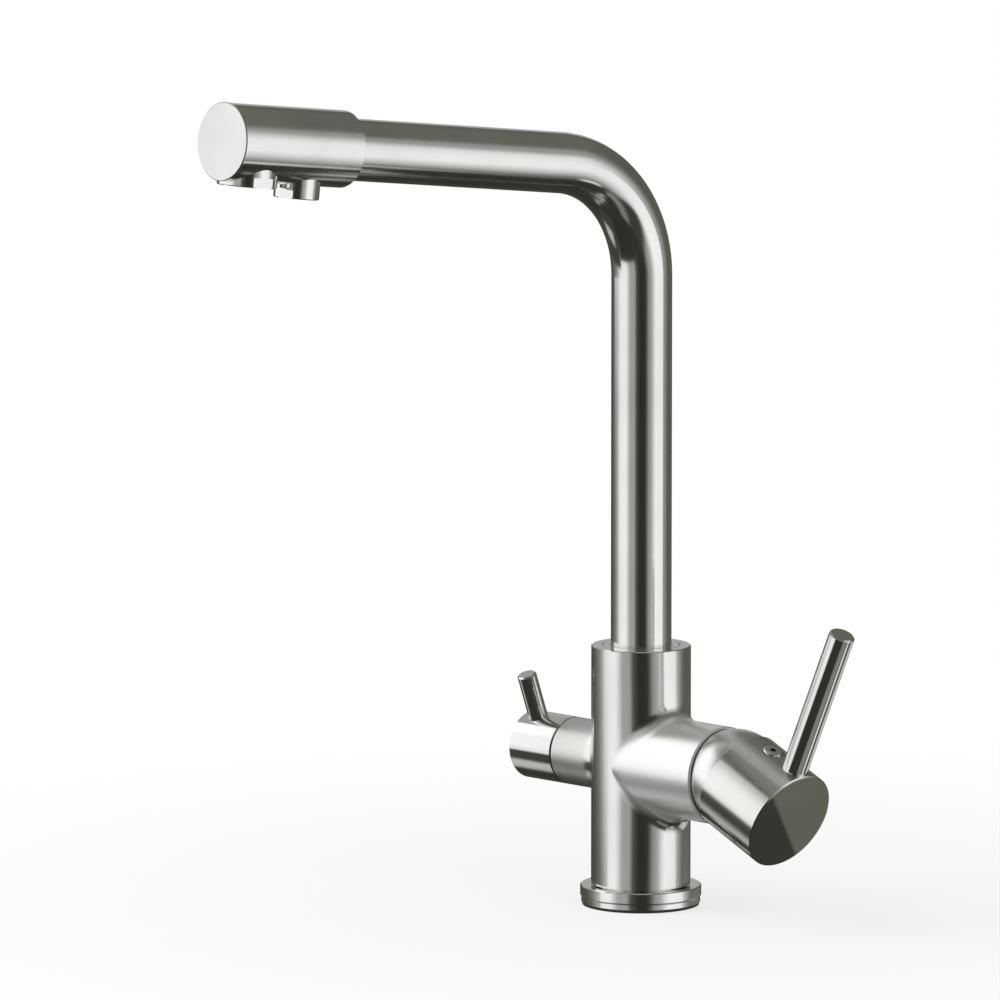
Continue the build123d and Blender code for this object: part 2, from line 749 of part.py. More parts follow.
# Cartridge housing with its neck
with BuildPart() as cartridge_housing:
    round_bar(branch_section(cartridge_floor), cartridge_radius, cartridge_shoulder - cartridge_floor)
    round_bar(branch_section(cartridge_shoulder), neck_radius, neck_end - cartridge_shoulder)
    blind_bore(branch_section(housing_wall_start), cartridge_bore, cartridge_floor - housing_wall_start)
    through_bore(branch_section(cartridge_floor), turret_radius + turn_fit, neck_end - cartridge_floor)
    chamfer(cartridge_housing.edges().group_by(Axis.X)[-1].sort_by(SortBy.RADIUS)[-1], length=edge_break)
cartridge_housing.part.label = "cartridge_housing"
export_step(cartridge_housing.part, "parts/cartridge_housing.step")

# Clamping nut with wrench notches
with BuildPart() as cartridge_nut:
    with BuildSketch(branch_section(cartridge_shoulder)):
        Circle(nut_radius)
        Circle(neck_radius + seat_fit, mode=Mode.SUBTRACT)
    extrude(amount=nut_end - cartridge_shoulder)
    with BuildSketch(branch_section(nut_end - nut_notch_depth)):
        with PolarLocations(nut_radius, nut_notch_count):
            Rectangle(nut_radius - neck_radius, nut_notch_width)
    extrude(amount=nut_notch_depth, mode=Mode.SUBTRACT)
cartridge_nut.part.label = "cartridge_nut"
export_step(cartridge_nut.part, "parts/cartridge_nut.step")

# Moving disc with its mixing pocket
disc_centre = (0, disc_travel / 2)
with BuildPart() as moving_disc:
    with BuildSketch(branch_section(moving_disc_start)):
        with Locations(disc_centre):
            Circle(moving_disc_radius)
    extrude(amount=disc_thickness)
    with BuildSketch(branch_section(moving_disc_start)):
        with Locations(disc_centre):
            Circle(disc_pocket_radius)
    extrude(amount=disc_pocket_depth, mode=Mode.SUBTRACT)
moving_disc.part.label = "moving_disc"
export_step(moving_disc.part, "parts/moving_disc.step")

# Disc carrier: a plate and a post whose slot takes the lever's ball
post_height = 2 * (slot_half + carrier_post_wall)
with BuildPart() as disc_carrier:
    with BuildSketch(branch_section(carrier_start)):
        with Locations(disc_centre):
            Circle(moving_disc_radius - edge_break)
    extrude(amount=carrier_plate)
    with BuildSketch(branch_section(carrier_start)):
        with Locations((0, disc_travel)):
            Rectangle(carrier_post_width, post_height)
    extrude(amount=carrier_post_end - carrier_start)
    slot_floor = pivot_place - tail_length - slot_half
    with BuildSketch(branch_section(slot_floor)):
        with Locations((0, disc_travel)):
            Rectangle(carrier_post_width + 2 * overrun, 2 * slot_half)
    extrude(amount=carrier_post_end - slot_floor + overrun, mode=Mode.SUBTRACT)
disc_carrier.part.label = "disc_carrier"
export_step(disc_carrier.part, "parts/disc_carrier.step")

# Turret that turns in the neck and holds the lever's pin
with BuildPart() as cartridge_turret:
    round_bar(branch_section(turret_start), turret_flange_radius, turret_flange)
    round_bar(branch_section(turret_start), turret_radius, turret_end - turret_start)
    with BuildSketch(branch_section(turret_start)):
        Rectangle(turret_slot_width, turret_slot_height)
    extrude(amount=turret_end - turret_start, mode=Mode.SUBTRACT)
    round_bar(pin_section(-pin_length / 2), pin_radius, pin_length, mode=Mode.SUBTRACT)
cartridge_turret.part.label = "cartridge_turret"
export_step(cartridge_turret.part, "parts/cartridge_turret.step")

# Pivot pin
with BuildPart() as pivot_pin:
    round_bar(pin_section(-pin_length / 2), pin_radius, pin_length)
pivot_pin.part.label = "pivot_pin"
export_step(pivot_pin.part, "parts/pivot_pin.step")

# Lever stem: square shank, hub on the pin, and a tail with the ball that moves the disc
with BuildPart() as lever_stem:
    with BuildSketch(handle_plane):
        Rectangle(stem_width, stem_width)
    extrude(amount=stem_end)
    round_bar(pin_section(-stem_width / 2), stem_hub_radius, stem_width)
    round_bar(handle_plane, tail_radius, -tail_length)
    with Locations(handle_plane.offset(-tail_length).origin):
        Sphere(ball_radius)
    through_bore(pin_section(-stem_width / 2), pin_radius + turn_fit, stem_width)
lever_stem.part.label = "lever_stem"
export_step(lever_stem.part, "parts/lever_stem.step")

# Dome: a shell cut from a ball, with a threaded ring that sits on the nut
dome_front = pivot_place + dome_radius * math.cos(math.radians(dome_half_angle))
with BuildPart() as escutcheon_dome:
    with Locations(pivot):
        Sphere(dome_radius)
        Sphere(dome_radius - dome_wall, mode=Mode.SUBTRACT)
    round_bar(branch_section(mixer_branch_end), dome_radius - 2 * dome_wall, dome_ring_width)
    through_bore(branch_section(mixer_branch_end), nut_radius + seat_fit, dome_ring_width)
    round_bar(branch_section(mixer_branch_end), dome_radius, dome_front - mixer_branch_end, Mode.INTERSECT)
escutcheon_dome.part.label = "escutcheon_dome"
export_step(escutcheon_dome.part, "parts/escutcheon_dome.step")

# Mixing handle barrel, hollow behind, with the boss that takes the stem
lever_base = barrel_radius - lever_depth
button_base = barrel_radius - button_depth
with BuildPart() as handle_barrel:
    round_bar(handle_plane.offset(barrel_start), barrel_radius, barrel_end - barrel_start)
    chamfer(handle_barrel.edges().filter_by(GeomType.CIRCLE).sort_by(Axis.X)[-1], length=rim_chamfer)
    with Locations(pivot):
        Sphere(handle_cavity_radius, mode=Mode.SUBTRACT)
    round_bar(handle_plane.offset(boss_start), boss_radius, socket_end - boss_start)
    with BuildSketch(handle_plane.offset(boss_start)):
        Rectangle(stem_width + 2 * seat_fit, stem_width + 2 * seat_fit)
    extrude(amount=socket_end - boss_start, mode=Mode.SUBTRACT)
    blind_bore(lever_section(button_place, 0), screw_radius + seat_fit, barrel_radius)
    blind_bore(lever_section(button_place, button_base), button_radius + button_gap, button_depth)
    blind_bore(lever_section(lever_place, lever_base), lever_radius + seat_fit, lever_depth)
handle_barrel.part.label = "handle_barrel"
export_step(handle_barrel.part, "parts/handle_barrel.step")

# Lever rod of the mixing handle
with BuildPart() as mixer_lever:
    round_bar(lever_section(lever_place, lever_base), lever_radius, lever_tip - lever_base)
    chamfer(mixer_lever.edges().filter_by(GeomType.CIRCLE), length=lever_chamfer)
mixer_lever.part.label = "mixer_lever"
export_step(mixer_lever.part, "parts/mixer_lever.step")

# Index button with a hole for the key, and the grub screw behind it
with BuildPart() as index_button:
    round_bar(lever_section(button_place, button_base), button_radius, button_depth + button_stand)
    fillet(index_button.edges().filter_by(GeomType.CIRCLE).sort_by(Axis.Z)[-1], radius=button_round)
    through_bore(lever_section(button_place, button_base), key_radius, button_depth + button_stand)
index_button.part.label = "index_button"
export_step(index_button.part, "parts/index_button.step")

with BuildPart() as handle_screw:
    screw_tip = stem_width / 2 + seat_fit
    round_bar(lever_section(button_place, screw_tip), screw_radius, screw_length)
    with BuildSketch(lever_section(button_place, screw_tip + screw_length / 2)):
        RegularPolygon(key_radius, 6)
    extrude(amount=screw_length, mode=Mode.SUBTRACT)
handle_screw.part.label = "handle_screw"
export_step(handle_screw.part, "parts/handle_screw.step")

# Filter valve headwork
disc_stack = valve_floor + 2 * valve_disc_thickness + 2 * face_fit
with BuildPart() as valve_headwork:
    round_bar(branch_section(-valve_floor), valve_head_radius, valve_floor - filter_branch_end)
    round_bar(branch_section(-filter_branch_end), valve_nose_radius, filter_branch_end - valve_nose_end)
    chamber_radius = valve_head_radius - valve_head_wall
    blind_bore(branch_section(-valve_chamber_end), chamber_radius, valve_chamber_end - valve_floor)
    through_bore(branch_section(-valve_floor), spindle_radius + turn_fit, valve_floor - valve_nose_end)
valve_headwork.part.label = "valve_headwork"
export_step(valve_headwork.part, "parts/valve_headwork.step")

# Filter valve discs: the fixed one has a centre port and a side port, the turning one a pocket
with BuildPart() as valve_fixed_disc:
    with BuildSketch(branch_section(-valve_floor)):
        Circle(valve_disc_radius)
        Circle(valve_port_radius, mode=Mode.SUBTRACT)
        with Locations((-valve_port_spread, 0)):
            Circle(valve_port_radius, mode=Mode.SUBTRACT)
    extrude(amount=-valve_disc_thickness)
valve_fixed_disc.part.label = "valve_fixed_disc"
export_step(valve_fixed_disc.part, "parts/valve_fixed_disc.step")

turning_disc_start = -(valve_floor + valve_disc_thickness + face_fit)
with BuildPart() as valve_turning_disc:
    round_bar(branch_section(turning_disc_start), valve_disc_radius, -valve_disc_thickness)
    with BuildSketch(branch_section(turning_disc_start)):
        SlotCenterPoint((0, 0), (-valve_port_spread, 0), 2 * valve_port_radius)
    extrude(amount=-valve_disc_thickness / 2, mode=Mode.SUBTRACT)
valve_turning_disc.part.label = "valve_turning_disc"
export_step(valve_turning_disc.part, "parts/valve_turning_disc.step")

# Spindle
with BuildPart() as valve_spindle:
    spindle_start = -disc_stack
    flange_end = valve_chamber_end - free_gap
    round_bar(branch_section(spindle_start), spindle_flange_radius, disc_stack - flange_end)
    round_bar(branch_section(spindle_start), spindle_radius, disc_stack - spindle_end)
valve_spindle.part.label = "valve_spindle"
export_step(valve_spindle.part, "parts/valve_spindle.step")

# Filter valve barrel and its lever rod
small_lever_base = small_barrel_radius - small_lever_depth
with BuildPart() as filter_barrel:
    round_bar(branch_section(-small_barrel_start), small_barrel_radius, small_barrel_start - small_barrel_end)
    rims = filter_barrel.edges().filter_by(GeomType.CIRCLE)
    chamfer(rims, length=edge_break)
    blind_bore(branch_section(-small_cavity_end), small_cavity_radius, small_cavity_end - small_barrel_start)
    blind_bore(branch_section(-spindle_end), spindle_radius + seat_fit, spindle_end - small_barrel_start)
    small_lever_seat = small_lever_section(small_lever_place, small_lever_base)
    blind_bore(small_lever_seat, small_lever_radius + seat_fit, small_lever_depth)
    blind_bore(small_lever_section(small_screw_place, 0), small_screw_radius + seat_fit, -small_barrel_radius)
filter_barrel.part.label = "filter_barrel"
export_step(filter_barrel.part, "parts/filter_barrel.step")

with BuildPart() as filter_lever:
    round_bar(
        small_lever_section(small_lever_place, small_lever_base), small_lever_radius,
        small_lever_tip - small_lever_base,
    )
    chamfer(filter_lever.edges().filter_by(GeomType.CIRCLE), length=lever_chamfer)
filter_lever.part.label = "filter_lever"
export_step(filter_lever.part, "parts/filter_lever.step")

with BuildPart() as filter_screw:
    small_screw_tip = spindle_radius + seat_fit
    round_bar(
        small_lever_section(small_screw_place, -small_screw_tip), small_screw_radius,
        small_screw_tip + edge_break - small_barrel_radius,
    )
filter_screw.part.label = "filter_screw"
export_step(filter_screw.part, "parts/filter_screw.step")
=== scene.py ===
import json
import math

import bmesh
import bpy
from mathutils import Matrix, Vector


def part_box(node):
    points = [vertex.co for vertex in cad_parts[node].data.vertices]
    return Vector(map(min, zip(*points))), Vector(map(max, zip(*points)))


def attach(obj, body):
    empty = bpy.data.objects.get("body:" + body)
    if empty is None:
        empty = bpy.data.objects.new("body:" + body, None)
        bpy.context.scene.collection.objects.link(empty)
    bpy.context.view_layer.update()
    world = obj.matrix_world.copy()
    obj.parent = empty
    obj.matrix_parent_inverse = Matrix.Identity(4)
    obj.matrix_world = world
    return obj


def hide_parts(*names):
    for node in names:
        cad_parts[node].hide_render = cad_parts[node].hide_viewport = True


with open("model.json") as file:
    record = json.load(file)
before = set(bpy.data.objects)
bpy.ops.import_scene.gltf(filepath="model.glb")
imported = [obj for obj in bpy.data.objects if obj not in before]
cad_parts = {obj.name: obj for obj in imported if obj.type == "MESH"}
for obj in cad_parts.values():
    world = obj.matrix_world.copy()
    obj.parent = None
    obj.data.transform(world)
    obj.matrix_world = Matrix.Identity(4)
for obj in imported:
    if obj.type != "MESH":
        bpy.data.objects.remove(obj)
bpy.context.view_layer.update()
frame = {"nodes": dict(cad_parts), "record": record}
nodes = frame["nodes"]

X, Y, Z = Vector((1, 0, 0)), Vector((0, 1, 0)), Vector((0, 0, 1))

# Sizes that the scene shares with the solids, in metres and radians
BRANCH_HEIGHT = 0.0662
BRANCH_START = Vector((0, 0, BRANCH_HEIGHT))
PIVOT = Vector((0.0619, 0, BRANCH_HEIGHT))
TILT = math.radians(24.5)
BARREL_AXIS = Vector((math.cos(TILT), 0, -math.sin(TILT)))
BARREL_END = 0.0382
SPOUT_HEADING = math.radians(-94)
ARM_CROSSING = Vector((0, 0, 0.342))
ARM_RISE = math.radians(6.89)
HEAD_START = 0.1781
HEAD_BORE = 0.0150
TUBE_RADIUS = 0.0140

# Sizes of the pieces that only the scene has
THREAD_PITCH = 0.00125
THREAD_DEPTH = 0.00068
THREAD_CHAMFER = 0.0004
# Sizes of the thin dark rings that paint shade into the groove around the swivel bush and the step behind
# the dome
LINE_THICKNESS = 0.0001
BUSH_LINE_SINK = 0.00030
BUSH_LINE_IN, BUSH_LINE_OUT = 0.00026, 0.00004
DOME_LINE_IN, DOME_LINE_OUT = 0.00015, 0.00045
MOUTH_SINK = 0.0006
MOUTH_DEPTH = 0.0024
MOUTH_OVERLAP = 0.00002

# Camera, placed by the angles at which the photograph's edges and ellipses meet the solids
AZIMUTH = math.radians(45.41)
ELEVATION = math.radians(8.42)
DISTANCE = 5.1595
TARGET = Vector((0, 0, 0.170))
YAW = AZIMUTH + math.radians(0.73)
PITCH = math.radians(8.22)
SENSOR_WIDTH = 36
FOCAL_SHARE = 11.2132
VIEW_END = 50

# What the studio shows in the metal, by the turn from the camera: two soft boxes and the dark gaps
# between and behind them, and by height: dark above and below
SOFT_BOXES = (
    (-180, 0.06), (-150, 0.07), (-130, 0.13), (-114, 0.24), (-101, 0.50), (-91, 0.98), (-62, 1.06),
    (-53, 0.76), (-45, 0.42), (-27, 0.40), (-20, 0.09), (-6, 0.03), (14, 0.035), (20, 0.12), (27, 0.32),
    (39, 0.46), (46, 0.78), (55, 1.08), (78, 1.04), (85, 0.95), (91, 0.60), (100, 0.32), (112, 0.15),
    (123, 0.11), (150, 0.12), (180, 0.06),
)
HEIGHTS = (
    (-90, 0.0), (-50, 0.0), (-44, 0.12), (-36, 0.42), (-25, 0.76), (-15, 1.0), (9, 1.0), (14, 0.92),
    (22, 0.66), (30, 0.42), (38, 0.13), (46, 0.0), (90, 0.0),
)
LEVELS = (
    (-90, 0.04), (-40, 0.035), (-8, 0.06), (10, 0.11), (34, 0.15), (60, 0.15), (75, 0.30), (90, 0.45),
)

# Cards and flags around the part: turn from and to, height from and to, softness of the edges, level
CARDS = (
    (-200, -88, 54, 82, 4, 0.40),
    (-88, -60, 52, 76, 3, 0.24),
    (-200, -120, 10, 56, 5, 0.38),
    (168, 200, 1, 24, 4, 0.43),
    (-200, -168, 0, 18, 4, 0.43),
    (-125, -68, -5, 47, 3, 1.10),
    (-124, -88, 26, 50, 3, 1.22),
    (-140, -84, -70, -13.5, 3, 0.06),
    (-130, -103, -46, -31, 4, 0.55),
    (-84, -14, -70, -22, 2, 0.035),
    (10, 56, -44, -22, 4, 0.05),
    (12, 62, -58, -46, 3, 0.24),
    (72, 90, -49, -44, 2, 0.95),
    (86, 100, 22, 35, 5, 0.35),
    (116, 152, -38, -16, 4, 0.60),
)

# Dark table edge that the flat end of the mixing handle shows: two points on it, the window that it
# fills, the levels on its two sides and how soft it is
TABLE_EDGE = ((107.015, -41.029), (107.980, -41.374))
TABLE_SPAN = (101, 114, -47, -35, 2)
TABLE_LEVELS = (0.047, 0.145)
TABLE_SOFTNESS = 0.0003

# Tent that carries the soft boxes and cards; its dark parts are slightly warm
TENT_RADIUS = 3.0
TENT_CENTRE = (0, 0, 0.2)
DARK_LEVEL, LIGHT_LEVEL = 0.12, 0.36
DARK_TINT, LIGHT_TINT = (1.0, 1.0, 0.84, 1), (1.0, 1.0, 1.02, 1)

# Floor, white but for the shadow near the part, and the world around it
FLOOR_RADIUS = 2.5
FADE_START, FADE_END = 0.12, 0.5
FADE_WHITE = 0.72
PAPER = (0.82, 0.82, 0.82, 1)
SKY = (0.62, 0.62, 0.62, 1)
WHITE = (1, 1, 1, 1)

# Lamps: name, place, width, power
LAMPS = (
    ("key_lamp", (-0.9, -1.1, 1.5), 1.2, 16),
    ("fill_lamp", (1.6, -0.3, 1.1), 1.4, 8),
)

# Patterns in the finishes: how fine they are along X, Y and Z, the noise values that they spread
# between, how far they darken and lighten the colour, and how deep the bump is
BRUSHED = (90, 90, 2600)
BLASTED = (700, 700, 700)
METAL_PATCHES = (28, 28, 28)
SOLID_GRAIN = (900, 900, 900)
SOLID_PATCHES = (60, 60, 60)
NOISE_LOW, NOISE_HIGH = 0.3, 0.7
METAL_DARKER, METAL_LIGHTER = 0.93, 1.04
SOLID_DARKER, SOLID_LIGHTER = 0.88, 1.12
SOLID_WEAR = 0.06
SOLID_BUMP = 0.15
BUMP_DEPTH = 0.0002

NICKEL_COLOUR = (0.80, 0.80, 0.765)
# Lighter colour and lower metallic that paint a sheen onto the casting's branch along +X, a painted
# highlight
PAINTED_SHEEN_COLOUR = (0.95, 0.95, 0.93, 1)
PAINTED_SHEEN_METALLIC = 0.8

# Zones of a piece with their own roughness: origin and axis, start and end of the change along the
# axis, start and end of it away from the axis, roughness, and whether the zone also gets painted sheen
BRANCH_ZONES = (
    (BRANCH_START, X, (-0.003, 0.012), (0.0225, 0.0265), 0.30, True),
    (BRANCH_START, -X, (0.0190, 0.0240), (0.020, 0.030), 0.40, False),
)
END_FACE_ZONES = (
    (PIVOT, BARREL_AXIS, (BARREL_END - 0.0004, BARREL_END - 0.0002), (0.040, 0.060), 0.012, False),
)


def facing(turn, height):
    """The unit vector at a turn from -Y towards X and a height above the ground, in radians."""
    return Vector((math.sin(turn) * math.cos(height), -math.cos(turn) * math.cos(height), math.sin(height)))


def add_camera():
    data = bpy.data.cameras.new("photo_camera")
    data.sensor_width = SENSOR_WIDTH
    data.lens = SENSOR_WIDTH * FOCAL_SHARE
    data.clip_end = VIEW_END
    camera = bpy.data.objects.new("photo_camera", data)
    forward = -facing(YAW, PITCH)
    right = Vector((math.cos(YAW), math.sin(YAW), 0))
    turn = Matrix((right, right.cross(forward), -forward)).transposed()
    place = TARGET + facing(AZIMUTH, ELEVATION) * DISTANCE
    camera.matrix_world = Matrix.Translation(place) @ turn.to_4x4()
    bpy.context.scene.collection.objects.link(camera)
    bpy.context.scene.camera = camera


class Tree:
    """A small helper that adds shader nodes and links them."""

    def __init__(self, tree):
        self.tree = tree
        self.tree.nodes.clear()

    def add(self, kind, settings=(), **inputs):
        node = self.tree.nodes.new(kind)
        for name, value in dict(settings).items():
            setattr(node, name, value)
        for name, value in inputs.items():
            self.put(node, name.replace("_", " "), value)
        return node

    def put(self, node, name, value):
        socket = node.inputs[int(name)] if name.isdigit() else node.inputs[name]
        if isinstance(value, bpy.types.NodeSocket):
            self.tree.links.new(value, socket)
        else:
            socket.default_value = value

    def put_all(self, node, values):
        for place, value in enumerate(values):
            self.put(node, str(place), value)

    def place(self):
        return self.add("ShaderNodeTexCoord").outputs["Object"]

    def math(self, operation, *values):
        node = self.add("ShaderNodeMath", {"operation": operation})
        self.put_all(node, values)
        return node.outputs[0]

    def vector(self, operation, *values):
        node = self.add("ShaderNodeVectorMath", {"operation": operation})
        self.put_all(node, values)
        return node.outputs["Value" if operation in ("DOT_PRODUCT", "LENGTH") else "Vector"]

    def ramp(self, value, stops, low, high):
        node = self.add("ShaderNodeValToRGB")
        elements = node.color_ramp.elements
        while len(elements) < len(stops):
            elements.new(0.5)
        for element, (place, level) in zip(elements, stops):
            element.position = (place - low) / (high - low)
            element.color = (level, level, level, 1)
        self.put(node, "0", self.spread(value, low, high, 0.0, 1.0))
        return node.outputs[0]

    def spread(self, value, low, high, to_low, to_high, easing="LINEAR"):
        node = self.add("ShaderNodeMapRange", {"interpolation_type": easing})
        self.put_all(node, (value, low, high, to_low, to_high))
        return node.outputs[0]

    def mix(self, share, first, second):
        node = self.add("ShaderNodeMix", {"data_type": "RGBA"})
        self.put(node, "0", share)
        self.put(node, "6", first)
        self.put(node, "7", second)
        return node.outputs[2]

    def mix_shaders(self, share, first, second):
        node = self.add("ShaderNodeMixShader")
        self.put_all(node, (share, first.outputs[0], second.outputs[0]))
        return node

    def noise(self, scale, detail, roughness):
        mapping = self.add("ShaderNodeMapping", Vector=self.place(), Scale=scale)
        node = self.add("ShaderNodeTexNoise", Scale=1.0, Detail=detail, Roughness=roughness)
        self.put(node, "Vector", mapping.outputs[0])
        return node.outputs[0]

    def seen_rays(self):
        """1 for the rays of the camera, of mirrors and through glass, and 0 for all others."""
        rays = self.add("ShaderNodeLightPath").outputs
        seen = self.math("MAXIMUM", rays["Is Camera Ray"], rays["Is Glossy Ray"])
        return self.math("MAXIMUM", seen, rays["Is Transmission Ray"])


def material(name):
    made = bpy.data.materials.new(name)
    made.use_nodes = True
    return made, Tree(made.node_tree)


def near_axis(tree, origin, axis, along, beside):
    """How far a point lies in a zone that begins along an axis and ends at a distance from it."""
    place = tree.vector("SUBTRACT", tree.place(), origin)
    distance = tree.vector("LENGTH", tree.vector("CROSS_PRODUCT", place, axis))
    share = tree.spread(tree.vector("DOT_PRODUCT", place, axis), *along, 0.0, 1.0, "SMOOTHSTEP")
    near = tree.spread(distance, *beside, 1.0, 0.0, "SMOOTHSTEP")
    return tree.math("MULTIPLY", share, near)


def patchy(tree, pattern, colour, darker, lighter):
    dark = tuple(channel * darker for channel in colour) + (1,)
    light = tuple(min(1.0, channel * lighter) for channel in colour) + (1,)
    return tree.mix(tree.spread(pattern, NOISE_LOW, NOISE_HIGH, 0.0, 1.0), dark, light)


def finish_surface(tree, shader, shade, gloss, grain, strength):
    tree.put(shader, "Base Color", shade)
    tree.put(shader, "Roughness", gloss)
    bump = tree.add("ShaderNodeBump", Strength=strength, Distance=BUMP_DEPTH, Height=grain)
    tree.put(shader, "Normal", bump.outputs[0])
    tree.add("ShaderNodeOutputMaterial", Surface=shader.outputs[0])


def metal(name, colour, rough, grain=BRUSHED, grain_depth=0.02, wear=0.03, zones=()):
    made, tree = material(name)
    fine = tree.noise(grain, 3.0, 0.6)
    wide = tree.noise(METAL_PATCHES, 4.0, 0.55)
    shader = tree.add("ShaderNodeBsdfPrincipled", Metallic=1.0)
    shade = patchy(tree, wide, colour, METAL_DARKER, METAL_LIGHTER)
    both = tree.math("MULTIPLY_ADD", fine, 0.5, tree.math("MULTIPLY", wide, 0.5))
    gloss = tree.spread(both, NOISE_LOW, NOISE_HIGH, rough - wear, rough + wear)
    for origin, axis, along, beside, zone_rough, painted_sheen in zones:
        share = near_axis(tree, origin, axis, along, beside)
        kept = tree.math("MULTIPLY", gloss, tree.math("SUBTRACT", 1.0, share))
        gloss = tree.math("MULTIPLY_ADD", share, zone_rough, kept)
        # Painted sheen: the zone's colour is lightened and its metallic lowered, standing in for a
        # highlight
        if painted_sheen:
            shade = tree.mix(share, shade, PAINTED_SHEEN_COLOUR)
            tree.put(shader, "Metallic", tree.spread(share, 0.0, 1.0, 1.0, PAINTED_SHEEN_METALLIC))
    finish_surface(tree, shader, shade, gloss, fine, grain_depth)
    return made


def solid(name, colour, rough):
    made, tree = material(name)
    fine = tree.noise(SOLID_GRAIN, 4.0, 0.6)
    wide = tree.noise(SOLID_PATCHES, 3.0, 0.5)
    shader = tree.add("ShaderNodeBsdfPrincipled")
    shade = patchy(tree, wide, colour, SOLID_DARKER, SOLID_LIGHTER)
    gloss = tree.spread(fine, NOISE_LOW, NOISE_HIGH, rough - SOLID_WEAR, rough + SOLID_WEAR)
    finish_surface(tree, shader, shade, gloss, fine, SOLID_BUMP)
    return made


def window(tree, turn, height, left, right, low, high, soft):
    """1 inside a range of turns and heights, 0 outside, with soft edges."""
    mask = tree.spread(turn, left - soft, left + soft, 0.0, 1.0, "SMOOTHSTEP")
    for value, start, end in ((turn, right, 0.0), (height, low, 1.0), (height, high, 0.0)):
        edge = tree.spread(value, start - soft, start + soft, 1.0 - end, end, "SMOOTHSTEP")
        mask = tree.math("MULTIPLY", mask, edge)
    return mask


def add_object(name, shape, finish):
    mesh = bpy.data.meshes.new(name)
    shape.to_mesh(mesh)
    shape.free()
    mesh.materials.append(finish)
    made = bpy.data.objects.new(name, mesh)
    bpy.context.scene.collection.objects.link(made)
    return made


def tent_material():
    made, tree = material("studio_tent")
    unit = tree.vector("NORMALIZE", tree.place())
    parts = tree.add("ShaderNodeSeparateXYZ")
    tree.put(parts, "0", unit)
    turn = tree.math("ARCTAN2", parts.outputs[1], parts.outputs[0])
    turn = tree.math("SUBTRACT", turn, AZIMUTH - math.pi / 2)
    turn = tree.math("DEGREES", tree.math("WRAP", turn, math.pi, -math.pi))
    height = tree.math("DEGREES", tree.math("ARCSINE", parts.outputs[2]))
    share = tree.ramp(height, HEIGHTS, -90, 90)
    level = tree.mix(share, tree.ramp(height, LEVELS, -90, 90), tree.ramp(turn, SOFT_BOXES, -180, 180))
    for left, right, low, high, soft, card in CARDS:
        mask = window(tree, turn, height, left, right, low, high, soft)
        level = tree.mix(mask, level, (card, card, card, 1))
    first, second = (
        facing(AZIMUTH + math.radians(edge_turn), math.radians(edge_height))
        for edge_turn, edge_height in TABLE_EDGE
    )
    side = tree.vector("DOT_PRODUCT", unit, first.cross(second).normalized())
    edge = tree.spread(side, -TABLE_SOFTNESS, TABLE_SOFTNESS, *TABLE_LEVELS)
    level = tree.mix(window(tree, turn, height, *TABLE_SPAN), level, edge)
    tint = tree.mix(tree.spread(level, DARK_LEVEL, LIGHT_LEVEL, 0.0, 1.0), DARK_TINT, LIGHT_TINT)
    glow = tree.add("ShaderNodeEmission", Color=tint, Strength=level)
    tree.add("ShaderNodeOutputMaterial", Surface=glow.outputs[0])
    return made


def add_tent():
    shape = bmesh.new()
    bmesh.ops.create_uvsphere(shape, u_segments=64, v_segments=32, radius=TENT_RADIUS)
    tent = add_object("studio_tent", shape, tent_material())
    tent.location = TENT_CENTRE
    tent.visible_camera = False
    tent.visible_diffuse = False
    tent.visible_shadow = False
    tent.visible_transmission = False


def floor_material():
    made, tree = material("studio_floor")
    reach = tree.vector("LENGTH", tree.place())
    white = tree.spread(reach, FADE_START, FADE_END, FADE_WHITE, 1.0, "SMOOTHSTEP")
    paper = tree.add("ShaderNodeBsdfDiffuse", Color=PAPER)
    glow = tree.add("ShaderNodeEmission", Color=WHITE, Strength=1.0)
    top = tree.mix_shaders(tree.math("MULTIPLY", tree.seen_rays(), white), paper, glow)
    clear = tree.add("ShaderNodeBsdfTransparent")
    below = tree.add("ShaderNodeNewGeometry").outputs["Backfacing"]
    both = tree.mix_shaders(below, top, clear)
    tree.add("ShaderNodeOutputMaterial", Surface=both.outputs[0])
    return made


def add_floor():
    shape = bmesh.new()
    bmesh.ops.create_circle(shape, cap_ends=True, segments=128, radius=FLOOR_RADIUS)
    floor = add_object("studio_floor", shape, floor_material())
    floor.visible_glossy = False


def add_world():
    world = bpy.data.worlds.new("studio")
    world.use_nodes = True
    bpy.context.scene.world = world
    tree = Tree(world.node_tree)
    sky = tree.add("ShaderNodeBackground", Color=SKY, Strength=1.0)
    white = tree.add("ShaderNodeBackground", Color=WHITE, Strength=1.0)
    both = tree.mix_shaders(tree.seen_rays(), sky, white)
    tree.add("ShaderNodeOutputWorld", Surface=both.outputs[0])


def add_lamp(name, place, width, power):
    data = bpy.data.lights.new(name, "AREA")
    data.shape = "SQUARE"
    data.size = width
    data.energy = power
    lamp = bpy.data.objects.new(name, data)
    lamp.location = place
    lamp.rotation_euler = (TARGET - Vector(place)).to_track_quat("-Z", "Y").to_euler()
    lamp.visible_glossy = False
    bpy.context.scene.collection.objects.link(lamp)


def add_piece(name, shape, finish, body):
    piece = add_object(name, shape, finish)
    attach(piece, body)
    return piece


def bridge(shape, first, second):
    """Joins two closed rows of points by a band of faces."""
    for place in range(len(first)):
        after = (place + 1) % len(first)
        shape.faces.new((first[place], first[after], second[after], second[place]))


